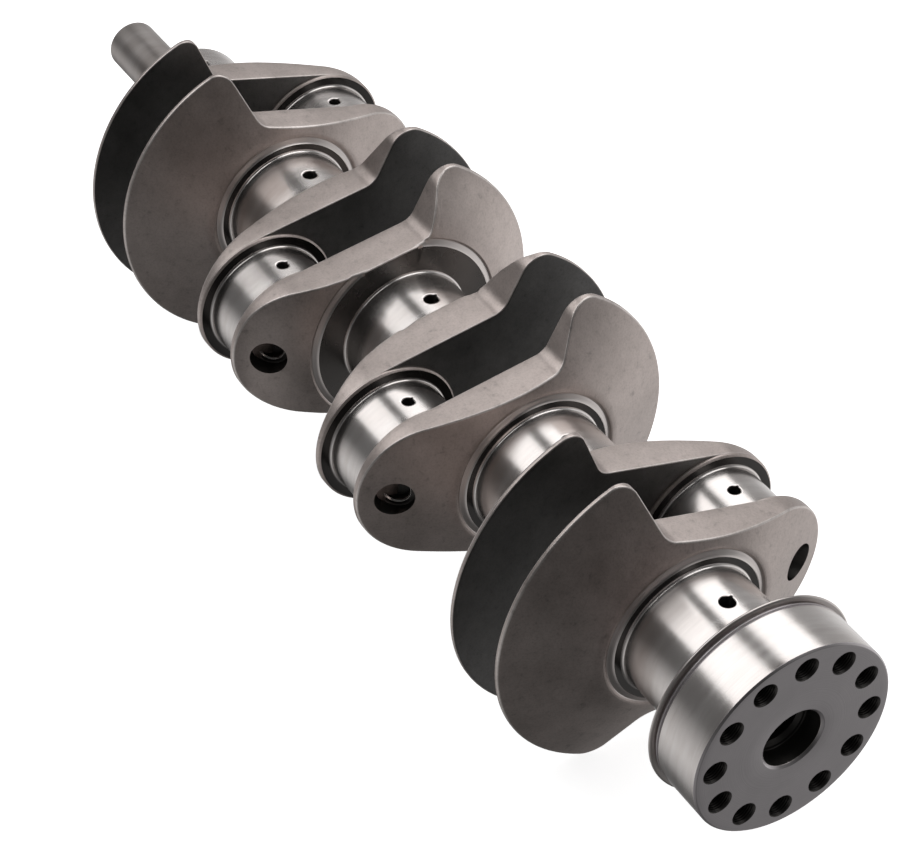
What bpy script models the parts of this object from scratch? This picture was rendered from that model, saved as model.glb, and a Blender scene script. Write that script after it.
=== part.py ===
"""A four-cylinder, flat-plane crankshaft with eight knife-edged counterweights.

Metres, +Z up. +X runs along the rotation axis from the pulley nose to the flywheel
flange, the crankpins lie in the horizontal plane (+Y and -Y), and the origin is on the
rotation axis, halfway between the nose end and the flange's rear face.

The shaft is one steel forging. Its functional sections are separate closed solids, with
a hair of clearance between them, and the four screwed gallery plugs and the Woodruff key
are pieces of their own.
"""

from math import atan2, cos, hypot, pi, radians, sin, sqrt, tan

import bmesh
import bpy

MM = 0.001
GAP = 0.3 * MM  # clearance between neighbouring solids

# Driving dimensions
BORE_PITCH = 102.0 * MM
THROW = 40.75 * MM  # half of the stroke
MAIN_RADIUS = 28.5 * MM
PIN_RADIUS = 26.0 * MM
LENGTH = 528.0 * MM
REAR_MAIN_SETBACK = 45.1 * MM  # flange rear face to the middle of the rear main journal
THROW_SIDES = (1, -1, -1, 1)  # side of the rotation axis each crankpin is on

# Journals
MAIN_HALF = 18.7 * MM  # middle of a main journal to the ring face of the web beside it
FRONT_MAIN_NOSE_HALF = 15.0 * MM
PIN_HALF = 13.0 * MM
FILLET = 3.2 * MM
CHAMFER = 1.2 * MM
MAIN_OIL_HOLE = 3.25 * MM
PIN_OIL_HOLE = 2.6 * MM

# Webs, as distances from the middle of the crankpin beside them
WEB_FLAT = 14.55 * MM  # flat face on the crankpin side
WEB_RING = BORE_PITCH / 2 - MAIN_HALF  # ring face on the main journal side
RING_RADIUS = 32.2 * MM  # flat ring round a main journal, then its bevelled shoulder and root
SHOULDER_RADIUS = 35.0 * MM
ROOT_RADIUS = 36.6 * MM
ROOT_DEPTH = 0.9 * MM
CONE_SLOPE = 0.425  # fall of the main side of a web, per unit of radius
# Beside the middle journal a wider ring takes the thrust washers, and the web behind it is
# thicker: radius, and how far the surface has fallen from the ring face
THRUST_FALL = [
    (41.0 * MM, 0.0),
    (43.3 * MM, 1.0 * MM),
    (50.0 * MM, 3.2 * MM),
    (56.0 * MM, 6.3 * MM),
    (62.0 * MM, 10.3 * MM),
    (68.0 * MM, 14.4 * MM),
]
LOBE_RADIUS = 31.3 * MM
PIN_BOSS_RADIUS = 31.1 * MM
LAND_ANGLE = radians(11.8)
WAIST_FILLET = 8.0 * MM
SHOULDER_ANGLE = radians(115.5)
# Counterweights: a point of the shoulder, the tip's radius, and the rim's radius and how far the
# rim's centre is towards the crankpin. Webs 3 to 6 are lighter.
END_WEIGHT = {
    "shoulder": (-14.9 * MM, 50.55 * MM), "tip": 7.5 * MM, "rim": 72.1 * MM, "rim_shift": 0.0,
}
MIDDLE_WEIGHT = {
    "shoulder": (-14.3 * MM, 50.85 * MM), "tip": 10.0 * MM, "rim": 73.0 * MM, "rim_shift": 5.0 * MM,
}

# Oil drilling, on the line from a main journal's middle to the crankpin's middle
DRILLING_RADIUS = 3.0 * MM
PLUG_BORE_RADIUS = 5.8 * MM
MOUTH_RADIUS = 7.75 * MM
MOUTH_DEPTH = 5.0 * MM
PLUG_LENGTH = 7.0 * MM
PLUG_SOCKET_ACROSS = 5.0 * MM
PLUG_SOCKET_DEPTH = 4.0 * MM
PLUG_CLEARANCE = 1.0 * MM  # between a plug's inner end and the bottom of its bore

# Flange
FLANGE_RADIUS = 42.1 * MM
COLLAR_RADIUS = 43.8 * MM
FLANGE_FRONT = REAR_MAIN_SETBACK - MAIN_HALF  # flange rear face to its front face
BOLT_CIRCLE = 33.7 * MM
BOLT_COUNT = 12
BOLT_HOLE_RADIUS = 4.9 * MM
BOLT_HOLE_DEPTH = 20.0 * MM
PILOT_RADIUS = 12.5 * MM
PILOT_STEP_RADIUS = 9.5 * MM
PILOT_SEAT_DEPTH = 9.0 * MM
PILOT_BORE_DEPTH = 20.0 * MM
COLLAR_WIDTH = 2.0 * MM
GROOVE_WIDTH = 1.6 * MM
GROOVE_DEPTH = 0.9 * MM

# Nose
NOSE_RADIUS = 12.0 * MM
NOSE_BORE_RADIUS = 5.1 * MM
NOSE_BORE_DEPTH = 28.0 * MM
KEY_RADIUS = 8.0 * MM
KEY_WIDTH = 4.0 * MM
KEY_DISTANCE = 24.0 * MM  # nose end to the middle of the key
KEY_CENTRE = NOSE_RADIUS + 1.2 * MM  # rotation axis to the middle of the key's disc
KEY_CUT = 0.8 * MM  # middle of the key's disc to its outer flat

SEGMENTS = 40
DRILL_POINT = tan(radians(31))  # depth of a drilled hole's point, per unit of radius
SEAM_ANGLE = radians(3.7)  # keeps turned edges off the plane of the throws

REAR_X = LENGTH / 2
NOSE_X = -LENGTH / 2
MAIN_X = [REAR_X - REAR_MAIN_SETBACK - BORE_PITCH * (4 - k) for k in range(5)]
PIN_X = [x + BORE_PITCH / 2 for x in MAIN_X[:4]]


# Scene helpers


def clear_scene():
    for obj in list(bpy.data.objects):
        bpy.data.objects.remove(obj, do_unlink=True)


def new_collection(name, helper=False):
    collection = bpy.data.collections.new(name)
    bpy.context.scene.collection.children.link(collection)
    collection.hide_render = helper
    return collection


def new_material(name, color, roughness, metallic):
    material = bpy.data.materials.new(name)
    material.use_nodes = True
    shader = material.node_tree.nodes["Principled BSDF"]
    shader.inputs["Base Color"].default_value = (*color, 1.0)
    shader.inputs["Roughness"].default_value = roughness
    shader.inputs["Metallic"].default_value = metallic
    return material


def add_part(name, mesh, material):
    obj = bpy.data.objects.new(name, mesh)
    obj.data.materials.clear()
    obj.data.materials.append(material)
    parts.objects.link(obj)
    return obj


def add_cutter(name, mesh):
    obj = bpy.data.objects.new(name, mesh)
    obj.hide_render = True
    obj.display_type = "WIRE"
    cutters.objects.link(obj)
    return obj


def add_boolean(obj, other, operation):
    modifier = obj.modifiers.new(operation.title() + " " + other.name, "BOOLEAN")
    modifier.operation = operation
    modifier.object = other
    modifier.solver = "EXACT"


def shade_round(mesh):
    mesh.shade_smooth()
    mesh.set_sharp_from_angle(angle=radians(35))


# Shape helpers


def profile_mesh(name, profile):
    """An open edge chain; profile holds (radius, x) pairs, from high x to low x."""
    mesh = bpy.data.meshes.new(name)
    points = [(r * cos(SEAM_ANGLE), r * sin(SEAM_ANGLE), x) for r, x in profile]
    mesh.from_pydata(points, [(i, i + 1) for i in range(len(points) - 1)], [])
    return mesh


def turn(obj, segments=SEGMENTS):
    """Spins a profile about the object's local Z, which is turned to the world's X."""
    obj.rotation_euler = (0.0, pi / 2, 0.0)
    screw = obj.modifiers.new("Turned", "SCREW")
    screw.axis = "Z"
    screw.angle = 2 * pi
    screw.steps = segments
    screw.render_steps = segments
    screw.use_merge_vertices = True
    screw.merge_threshold = 0.01 * MM
    screw.use_smooth_shade = True


def cylinder_mesh(name, radius, start, end, segments=24):
    """A capped cylinder along local Z, from start to end."""
    mesh = bpy.data.meshes.new(name)
    shape = bmesh.new()
    bmesh.ops.create_cone(
        shape, cap_ends=True, segments=segments, radius1=radius, radius2=radius, depth=end - start
    )
    bmesh.ops.translate(shape, verts=shape.verts, vec=(0.0, 0.0, (start + end) / 2))
    shape.to_mesh(mesh)
    shape.free()
    return mesh


def arc(centre, radius, start, end, steps):
    """Points along an arc, both ends included."""
    angles = [start + (end - start) * i / steps for i in range(steps + 1)]
    return [(centre[0] + radius * cos(a), centre[1] + radius * sin(a)) for a in angles]


def fillet_profile(radius, shoulder, steps=3):
    """A concave quarter fillet, from the shoulder at this x down to the journal."""
    outward = 1 if shoulder > 0.0 else -1
    points = []
    for i in range(steps + 1):
        a = pi / 2 * i / steps
        points.append((radius + FILLET * (1 - sin(a)), shoulder - outward * FILLET * (1 - cos(a))))
    return points


# Web outline, in the plane across the shaft: u towards the crankpin, v up


def shoulder_line():
    direction = (cos(SHOULDER_ANGLE), sin(SHOULDER_ANGLE))
    inward = (-direction[1], direction[0])
    return direction, inward


def waist_arc(shoulder):
    """The concave fillet between the straight land and the counterweight's shoulder."""
    tangent = (THROW + LOBE_RADIUS * sin(LAND_ANGLE), LOBE_RADIUS * cos(LAND_ANGLE))
    land = (-cos(LAND_ANGLE), sin(LAND_ANGLE))
    land_out = (sin(LAND_ANGLE), cos(LAND_ANGLE))
    direction, inward = shoulder_line()
    outward = (-inward[0], -inward[1])
    # The centre is WAIST_FILLET outside both lines
    ax = tangent[0] + WAIST_FILLET * land_out[0]
    ay = tangent[1] + WAIST_FILLET * land_out[1]
    bx = shoulder[0] + WAIST_FILLET * outward[0]
    by = shoulder[1] + WAIST_FILLET * outward[1]
    cross = land[0] * direction[1] - land[1] * direction[0]
    along = ((bx - ax) * direction[1] - (by - ay) * direction[0]) / cross
    centre = (ax + along * land[0], ay + along * land[1])
    start = atan2(-land_out[1], -land_out[0])
    end = atan2(inward[1], inward[0])
    return arc(centre, WAIST_FILLET, start, end - 2 * pi if end > start else end, 5)


def tip_arc(weight):
    """The counterweight's corner, tangent to the shoulder and to the rim."""
    direction, inward = shoulder_line()
    px = weight["shoulder"][0] + weight["tip"] * inward[0] - weight["rim_shift"]
    py = weight["shoulder"][1] + weight["tip"] * inward[1]
    reach = weight["rim"] - weight["tip"]
    half = px * direction[0] + py * direction[1]
    along = -half + sqrt(half * half - (px * px + py * py - reach * reach))
    out = (px + along * direction[0], py + along * direction[1])
    start = atan2(-inward[1], -inward[0])
    end = atan2(out[1], out[0])
    return arc((weight["rim_shift"] + out[0], out[1]), weight["tip"], start, end, 4), end


def web_outline(weight):
    lobe = arc((THROW, 0.0), LOBE_RADIUS, 0.0, pi / 2 - LAND_ANGLE, 9)
    tip, rim_start = tip_arc(weight)
    rim = arc((weight["rim_shift"], 0.0), weight["rim"], rim_start, pi, 12)
    upper = lobe + waist_arc(weight["shoulder"]) + tip + rim[1:]
    lower = [(u, -v) for u, v in reversed(upper[1:-1])]
    return upper + lower


def outline_mesh(name, outline, low, high):
    """A plate with this outline, across the shaft, from x = low to x = high."""
    mesh = bpy.data.meshes.new(name)
    shape = bmesh.new()
    face = shape.faces.new([shape.verts.new((low, u, v)) for u, v in outline])
    grown = bmesh.ops.extrude_face_region(shape, geom=[face])
    far = [item for item in grown["geom"] if isinstance(item, bmesh.types.BMVert)]
    bmesh.ops.translate(shape, verts=far, vec=(high - low, 0.0, 0.0))
    bmesh.ops.recalc_face_normals(shape, faces=shape.faces)
    shape.to_mesh(mesh)
    shape.free()
    return mesh


# Sections of the forging


def face_former_profile(thrust):
    """The turned limit of a web on its main journal side, from the ring face to the rim."""
    beyond = END_WEIGHT["rim"] + END_WEIGHT["tip"]

    def cone(radius):
        return radius, WEB_RING - ROOT_DEPTH - CONE_SLOPE * (radius - ROOT_RADIUS)

    if thrust:
        ring = [(radius, WEB_RING - fall) for radius, fall in THRUST_FALL]
    else:
        ring = [
            (RING_RADIUS, WEB_RING),
            (SHOULDER_RADIUS, WEB_RING - ROOT_DEPTH),
            cone(ROOT_RADIUS),
        ]
    return [(0.0, WEB_RING)] + ring + [cone(beyond), (beyond, 0.0), (0.0, 0.0)]


def drilling_cutter(throw, plugged):
    """The oil drilling of one throw, with the stepped mouth that takes the plug."""
    slope = hypot(BORE_PITCH / 2, THROW)
    step = MOUTH_DISTANCE - MOUTH_DEPTH
    seat = step - PLUG_LENGTH - PLUG_CLEARANCE
    profile = [(DRILLING_RADIUS, -slope), (0.0, -slope)]
    if plugged:
        beyond = MOUTH_DISTANCE + LOBE_RADIUS
        top = [(0.0, beyond), (MOUTH_RADIUS, beyond), (MOUTH_RADIUS, step), (PLUG_BORE_RADIUS, step)]
        profile = top + [(PLUG_BORE_RADIUS, seat), (DRILLING_RADIUS, seat)] + profile
    else:
        profile = [(0.0, slope), (DRILLING_RADIUS, slope)] + profile
    name = f"drilling_{throw + 1}" + ("_mouth" if plugged else "")
    obj = add_cutter(name, profile_mesh(name, profile))
    turn(obj, 16)
    side = THROW_SIDES[throw]
    obj.location = (PIN_X[throw], side * THROW, 0.0)
    obj.rotation_euler = (0.0, pi / 2, side * DRILLING_ANGLE)
    return obj


def build_web(number, material):
    """Webs 1, 3, 5 and 7 are in front of their crankpin, webs 2, 4, 6 and 8 behind it."""
    throw = (number - 1) // 2
    behind = number % 2 == 0
    facing = 1 if behind else -1
    side = THROW_SIDES[throw]
    thrust = number in (4, 5)
    name = f"web_{number}"
    weight = MIDDLE_WEIGHT if 3 <= number <= 6 else END_WEIGHT
    plate = outline_mesh(name, web_outline(weight), WEB_FLAT, BORE_PITCH / 2)
    obj = add_part(name, plate, material)
    for vert in obj.data.vertices:
        vert.co.x *= facing
        vert.co.y *= side
    if facing * side < 0:
        obj.data.flip_normals()
    obj.location.x = PIN_X[throw]

    former_name = f"face_former_{number}"
    former = add_cutter(former_name, profile_mesh(former_name, face_former_profile(thrust)))
    turn(former)
    former.location.x = PIN_X[throw]
    if not behind:
        former.rotation_euler = (0.0, -pi / 2, 0.0)
    add_boolean(obj, former, "INTERSECT")

    boss_name = f"pin_boss_{number}"
    boss = add_cutter(boss_name, cylinder_mesh(boss_name, PIN_BOSS_RADIUS, PIN_HALF, WEB_FLAT + MM, SEGMENTS))
    boss.rotation_euler = (0.0, facing * pi / 2, 0.0)
    boss.location = (PIN_X[throw], side * THROW, 0.0)
    add_boolean(obj, boss, "UNION")
    add_boolean(obj, drillings[throw][behind], "DIFFERENCE")
    return obj


def journal_profile(radius, front, rear):
    """A ground journal between two shoulders, with a rolled fillet at each end."""
    rear_end = fillet_profile(radius, rear)
    front_end = fillet_profile(radius, front)
    return [(0.0, rear)] + rear_end + front_end[::-1] + [(0.0, front)]


def radial_hole(name, radius, x, y):
    cutter = add_cutter(name, cylinder_mesh(name, radius, -2 * MAIN_RADIUS, 2 * MAIN_RADIUS, 12))
    cutter.location = (x, y, 0.0)
    return cutter


def build_main_journal(number, material):
    """The middle three are alike; the first ends at the nose, the last at the flange."""
    x = MAIN_X[number - 1]
    rear = MAIN_HALF - GAP
    if number == 1:
        face = -FRONT_MAIN_NOSE_HALF
        nose_side = [(MAIN_RADIUS, face + CHAMFER), (MAIN_RADIUS - CHAMFER, face), (0.0, face)]
        profile = [(0.0, rear)] + fillet_profile(MAIN_RADIUS, rear) + nose_side
    else:
        profile = journal_profile(MAIN_RADIUS, -MAIN_HALF + GAP, rear)
    name = f"main_journal_{number}"
    obj = add_part(name, profile_mesh(name, profile), material)
    turn(obj)
    obj.location.x = x
    add_boolean(obj, radial_hole(f"main_oil_hole_{number}", MAIN_OIL_HOLE, x, 0.0), "DIFFERENCE")
    if number < 5:
        add_boolean(obj, drillings[number - 1][False], "DIFFERENCE")
    return obj


def build_crankpin(number, material):
    throw = number - 1
    x = PIN_X[throw]
    y = THROW_SIDES[throw] * THROW
    name = f"crankpin_{number}"
    profile = journal_profile(PIN_RADIUS, -PIN_HALF + GAP, PIN_HALF - GAP)
    obj = add_part(name, profile_mesh(name, profile), material)
    turn(obj)
    obj.location = (x, y, 0.0)
    add_boolean(obj, radial_hole(f"pin_oil_hole_{number}", PIN_OIL_HOLE, x, y), "DIFFERENCE")
    add_boolean(obj, drillings[throw][True], "DIFFERENCE")
    return obj


def build_flange(material):
    """The flywheel flange: collar, groove and seal land, with a stepped pilot bore."""
    front = -FLANGE_FRONT + GAP
    collar_rear = front + COLLAR_WIDTH
    groove_rear = collar_rear + GROOVE_WIDTH
    groove_radius = FLANGE_RADIUS - GROOVE_DEPTH
    profile = [
        (0.0, -PILOT_BORE_DEPTH - PILOT_STEP_RADIUS * DRILL_POINT / 2),
        (PILOT_STEP_RADIUS, -PILOT_BORE_DEPTH),
        (PILOT_STEP_RADIUS, -PILOT_SEAT_DEPTH - CHAMFER),
        (PILOT_STEP_RADIUS + CHAMFER, -PILOT_SEAT_DEPTH),
        (PILOT_RADIUS, -PILOT_SEAT_DEPTH),
        (PILOT_RADIUS, -CHAMFER),
        (PILOT_RADIUS + CHAMFER, 0.0),
        (FLANGE_RADIUS - CHAMFER, 0.0),
        (FLANGE_RADIUS, -CHAMFER),
        (FLANGE_RADIUS, groove_rear),
        (groove_radius, groove_rear),
        (groove_radius, collar_rear),
        (COLLAR_RADIUS, collar_rear),
        (COLLAR_RADIUS, front),
        (0.0, front),
    ]
    obj = add_part("flange", profile_mesh("flange", profile), material)
    turn(obj, 60)
    obj.location.x = REAR_X
    hole = [
        (0.0, CHAMFER),
        (BOLT_HOLE_RADIUS + 2 * CHAMFER, CHAMFER),
        (BOLT_HOLE_RADIUS, -CHAMFER),
        (BOLT_HOLE_RADIUS, -BOLT_HOLE_DEPTH),
        (0.0, -BOLT_HOLE_DEPTH - BOLT_HOLE_RADIUS * DRILL_POINT),
    ]
    hole_mesh = profile_mesh("flange_hole", hole)
    for k in range(BOLT_COUNT):
        angle = 2 * pi * k / BOLT_COUNT
        cutter = add_cutter(f"flange_hole_{k + 1}", hole_mesh)
        turn(cutter, 14)
        cutter.location = (REAR_X, BOLT_CIRCLE * cos(angle), BOLT_CIRCLE * sin(angle))
        add_boolean(obj, cutter, "DIFFERENCE")
    return obj


def build_nose(material):
    """The pulley nose, with a tapped centre hole and a Woodruff keyway underneath."""
    rear = MAIN_X[0] - FRONT_MAIN_NOSE_HALF - GAP - NOSE_X
    profile = [
        (0.0, rear),
        (NOSE_RADIUS, rear),
        (NOSE_RADIUS, CHAMFER),
        (NOSE_RADIUS - CHAMFER, 0.0),
        (NOSE_BORE_RADIUS + CHAMFER, 0.0),
        (NOSE_BORE_RADIUS, CHAMFER),
        (NOSE_BORE_RADIUS, NOSE_BORE_DEPTH),
        (0.0, NOSE_BORE_DEPTH + NOSE_BORE_RADIUS * DRILL_POINT),
    ]
    obj = add_part("nose", profile_mesh("nose", profile), material)
    turn(obj)
    obj.location.x = NOSE_X
    width = KEY_WIDTH / 2 + GAP
    slot = add_cutter("keyway", cylinder_mesh("keyway", KEY_RADIUS + GAP, -width, width, 40))
    slot.rotation_euler = (pi / 2, 0.0, 0.0)
    slot.location = (NOSE_X + KEY_DISTANCE, 0.0, -KEY_CENTRE)
    add_boolean(obj, slot, "DIFFERENCE")
    return obj


def build_key(material):
    """A half-moon key: a disc cut off by a flat that stands just proud of the nose."""
    half = KEY_WIDTH / 2
    obj = add_part("woodruff_key", cylinder_mesh("woodruff_key", KEY_RADIUS, -half, half, 40), material)
    obj.rotation_euler = (pi / 2, 0.0, 0.0)
    obj.location = (NOSE_X + KEY_DISTANCE, 0.0, -KEY_CENTRE)
    flat = add_cutter("key_flat", cylinder_mesh("key_flat", 2 * KEY_RADIUS, 0.0, 2 * KEY_RADIUS, 4))
    flat.rotation_euler = (pi, 0.0, 0.0)
    flat.location = (NOSE_X + KEY_DISTANCE, 0.0, -KEY_CENTRE - KEY_CUT)
    add_boolean(obj, flat, "DIFFERENCE")
    return obj


def build_plug(number, material):
    """A screw plug with a hexagon socket, sunk in the mouth of an oil drilling."""
    throw = number - 1
    side = THROW_SIDES[throw]
    radius = PLUG_BORE_RADIUS - GAP
    top = MOUTH_DISTANCE - MOUTH_DEPTH
    profile = [
        (0.0, top),
        (radius - CHAMFER / 2, top),
        (radius, top - CHAMFER / 2),
        (radius, top - PLUG_LENGTH),
        (0.0, top - PLUG_LENGTH),
    ]
    name = f"gallery_plug_{number}"
    obj = add_part(name, profile_mesh(name, profile), material)
    turn(obj, 20)
    socket_name = f"plug_socket_{number}"
    socket_radius = PLUG_SOCKET_ACROSS / 2 / cos(pi / 6)
    depth = PLUG_SOCKET_DEPTH
    socket_mesh = cylinder_mesh(socket_name, socket_radius, top - depth, top + depth, 6)
    socket = add_cutter(socket_name, socket_mesh)
    for piece in (obj, socket):
        piece.location = (PIN_X[throw], side * THROW, 0.0)
        piece.rotation_euler = (0.0, pi / 2, side * DRILLING_ANGLE)
    add_boolean(obj, socket, "DIFFERENCE")
    return obj


# Where the drilling leaves the cone on the far side of the crankpin, from the pin's middle
DRILLING_ANGLE = atan2(THROW, BORE_PITCH / 2)
MOUTH_X = (WEB_RING - ROOT_DEPTH + CONE_SLOPE * (ROOT_RADIUS - THROW)) / (
    1 + CONE_SLOPE * tan(DRILLING_ANGLE)
)
MOUTH_DISTANCE = MOUTH_X / cos(DRILLING_ANGLE)

clear_scene()
parts = new_collection("crankshaft")
cutters = new_collection("cutters", helper=True)

forged = new_material("forged_steel", (0.16, 0.15, 0.145), 0.55, 0.8)
ground = new_material("ground_steel", (0.72, 0.71, 0.70), 0.22, 1.0)
machined = new_material("machined_steel", (0.30, 0.29, 0.29), 0.38, 1.0)
plug_steel = new_material("plug_steel", (0.45, 0.44, 0.43), 0.35, 1.0)
key_steel = new_material("key_steel", (0.50, 0.50, 0.50), 0.35, 1.0)

drillings = [(drilling_cutter(k, False), drilling_cutter(k, True)) for k in range(4)]

build_nose(ground)
build_key(key_steel)
for k in range(1, 6):
    build_main_journal(k, ground)
for k in range(1, 5):
    build_crankpin(k, ground)
for k in range(1, 9):
    build_web(k, forged)
build_flange(machined)
for k in range(1, 5):
    build_plug(k, plug_steel)
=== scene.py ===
"""The looks of a four-cylinder crankshaft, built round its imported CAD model.

Shapes are worked out in millimetres, in the CAD frame: +X along the rotation axis towards the
flange, the crankpins in the horizontal plane, +Z up. A turned shape starts as a profile of
(x, r, rounding) corners.
"""

import math

import bmesh
import bpy
import numpy as np
from mathutils import Matrix, Vector


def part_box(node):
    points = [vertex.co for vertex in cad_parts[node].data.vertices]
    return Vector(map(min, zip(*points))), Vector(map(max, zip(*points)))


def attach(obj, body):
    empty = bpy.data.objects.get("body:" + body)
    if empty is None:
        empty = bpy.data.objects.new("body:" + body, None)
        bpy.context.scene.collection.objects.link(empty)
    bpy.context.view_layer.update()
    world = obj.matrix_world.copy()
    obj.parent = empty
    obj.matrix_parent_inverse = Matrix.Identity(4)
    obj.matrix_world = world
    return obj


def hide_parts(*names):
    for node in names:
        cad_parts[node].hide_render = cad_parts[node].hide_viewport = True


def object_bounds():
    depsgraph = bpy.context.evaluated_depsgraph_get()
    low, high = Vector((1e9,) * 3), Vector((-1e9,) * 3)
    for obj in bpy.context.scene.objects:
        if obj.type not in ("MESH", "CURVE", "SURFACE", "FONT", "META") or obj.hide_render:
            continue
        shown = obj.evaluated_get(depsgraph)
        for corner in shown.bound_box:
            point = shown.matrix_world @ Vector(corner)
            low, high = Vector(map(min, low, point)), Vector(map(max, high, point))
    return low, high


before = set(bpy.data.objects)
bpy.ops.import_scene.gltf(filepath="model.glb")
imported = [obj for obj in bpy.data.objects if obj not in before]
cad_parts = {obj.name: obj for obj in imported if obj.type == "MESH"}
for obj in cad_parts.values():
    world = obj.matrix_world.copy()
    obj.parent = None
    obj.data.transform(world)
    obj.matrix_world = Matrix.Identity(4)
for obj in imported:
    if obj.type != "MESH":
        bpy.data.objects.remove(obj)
cad_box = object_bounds()

MM = 0.001
SMOOTH_BELOW = math.radians(32)  # edges that turn by more than this are shaded sharp
TOUCHING = 1e-6


# Places, read from the CAD model


def box_mm(node):
    low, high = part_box(node)
    return np.array(low) / MM, np.array(high) / MM


def middle_mm(node):
    low, high = box_mm(node)
    return (low + high) / 2


PINS = [middle_mm(f"crankpin_{number}") for number in range(1, 5)]
PITCH = PINS[1][0] - PINS[0][0]
THROW = abs(PINS[0][1])
MAINS = [PINS[0][0] + PITCH * (k - 0.5) for k in range(5)]
SIDES = [1 if pin[1] > 0 else -1 for pin in PINS]
NOSE_X = box_mm("nose")[0][0]
REAR_X = box_mm("flange")[1][0]

# Shared sizes, mm
MAIN_R = 28.5
PIN_R = 26.0
MAIN_HALF = 18.7  # middle of a main journal to the ring face beside it
PIN_HALF = 13.0  # middle of a crankpin to its boss face
WEB_FLAT = 14.55  # middle of a crankpin to the flat face of a web
WEB_RING = PITCH / 2 - MAIN_HALF
ROOT_R = 36.6
ROOT_DEPTH = 0.9
CONE_SLOPE = 0.425
LOBE_R = 31.3
BOSS_R = 31.25
LAND_ANGLE = math.radians(11.8)
WAIST_R = 8.0
SHOULDER_ANGLE = math.radians(115.5)
# Counterweights of webs 1, 2, 7 and 8, then of the lighter middle ones: a point of the shoulder,
# the tip's radius, how far the rim's centre is towards the pin, and the rim's radius
END_WEIGHT = ((-14.9, 50.55), 7.5, 0.0, 72.1)
MIDDLE_WEIGHT = ((-14.3, 50.85), 10.0, 5.0, 73.0)
NOSE_FACE = 15.0  # middle of the front main journal to its front face
FILLET = 2.0  # rolled at both ends of every journal
MAIN_HOLE_R = 3.1
PIN_HOLE_R = 2.5
BOLT_CIRCLE_R = 33.7
BOLTS = 12
KEY_Z = -13.2  # middle of the half-moon key's round edge

# Ends of the flat ring beside a main journal, of its turned edge and of the root round it
RING_RADII = (32.2, 34.9, 36.4)
THRUST_RADII = (40.8, 43.6, 44.6)

# The oil drilling of each throw runs at this angle to the shaft, and opens this far from the
# crankpin's middle, where it meets the sloping face of the rear web
DRILL_ANGLE = math.atan2(THROW, PITCH / 2)
MOUTH_X = (WEB_RING - ROOT_DEPTH + CONE_SLOPE * (ROOT_R - THROW)) / (
    1 + CONE_SLOPE * math.tan(DRILL_ANGLE)
)
MOUTH = MOUTH_X / math.cos(DRILL_ANGLE)


# Object and mesh helpers


def link(obj):
    bpy.context.scene.collection.objects.link(obj)


def shade(mesh):
    mesh.shade_smooth()
    mesh.set_sharp_from_angle(angle=SMOOTH_BELOW)


def volume_of(points, faces):
    total = 0.0
    for face in faces:
        a = points[face[0]]
        for i in range(1, len(face) - 1):
            total += np.dot(a, np.cross(points[face[i]], points[face[i + 1]]))
    return total


def make_object(name, points, faces, materials, finishes=None, origin=(0.0, 0.0, 0.0)):
    """A smooth-shaded object from points in mm, turned right side out. finishes gives the
    material of each face."""
    points = np.asarray(points, float)
    if volume_of(points, faces) < 0:
        faces = [tuple(reversed(face)) for face in faces]
    mesh = bpy.data.meshes.new(name)
    local = (points - np.asarray(origin)) * MM
    mesh.from_pydata(local.tolist(), [], [tuple(int(i) for i in face) for face in faces])
    for material in materials:
        mesh.materials.append(material)
    if finishes is not None:
        slots = {material.name: index for index, material in enumerate(materials)}
        indices = np.array([slots[finish.name] for finish in finishes], np.int32)
        mesh.polygons.foreach_set("material_index", indices)
    mesh.validate()
    shade(mesh)
    obj = bpy.data.objects.new(name, mesh)
    obj.location = np.asarray(origin) * MM
    link(obj)
    return obj


def ring_faces(first, second, count):
    """Quads between two closed loops of vertices that start at these indices."""
    return [
        (first + j, first + (j + 1) % count, second + (j + 1) % count, second + j)
        for j in range(count)
    ]


def fan(loop, tip, count, before=False):
    """Triangles that close a loop at a tip, which comes before or after it along the surface."""
    faces = [(loop + j, loop + (j + 1) % count, tip) for j in range(count)]
    return [tuple(reversed(face)) for face in faces] if before else faces


def around(segments):
    """Angles of the vertices of a circle."""
    return 2 * math.pi * np.arange(segments) / segments


def rounded(corners, step=14.0):
    """A polyline from (x, r, rounding) corners, with a vertex every step degrees of a corner."""
    out = []
    for i, (x, r, radius) in enumerate(corners):
        here = np.array([x, r])
        if radius <= 0.0 or i in (0, len(corners) - 1):
            out.append(here)
            continue
        back = np.array(corners[i - 1][:2]) - here
        ahead = np.array(corners[i + 1][:2]) - here
        back_length, ahead_length = np.linalg.norm(back), np.linalg.norm(ahead)
        back, ahead = back / back_length, ahead / ahead_length
        turn = math.pi - math.acos(np.clip(np.dot(back, ahead), -1.0, 1.0))
        reach = min(radius * math.tan(turn / 2), 0.49 * back_length, 0.49 * ahead_length)
        radius = reach / math.tan(turn / 2)
        middle = (back + ahead) / np.linalg.norm(back + ahead)
        centre = here + middle * math.hypot(radius, reach)
        start = here + back * reach - centre
        count = max(2, int(math.degrees(turn) / step) + 1)
        cross = back[0] * ahead[1] - back[1] * ahead[0]
        sign = -1.0 if cross > 0 else 1.0
        for k in range(count + 1):
            a = sign * turn * k / count
            c, s = math.cos(a), math.sin(a)
            spoke = (start[0] * c - start[1] * s, start[0] * s + start[1] * c)
            out.append(centre + np.array(spoke))
    return np.array(out)


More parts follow.
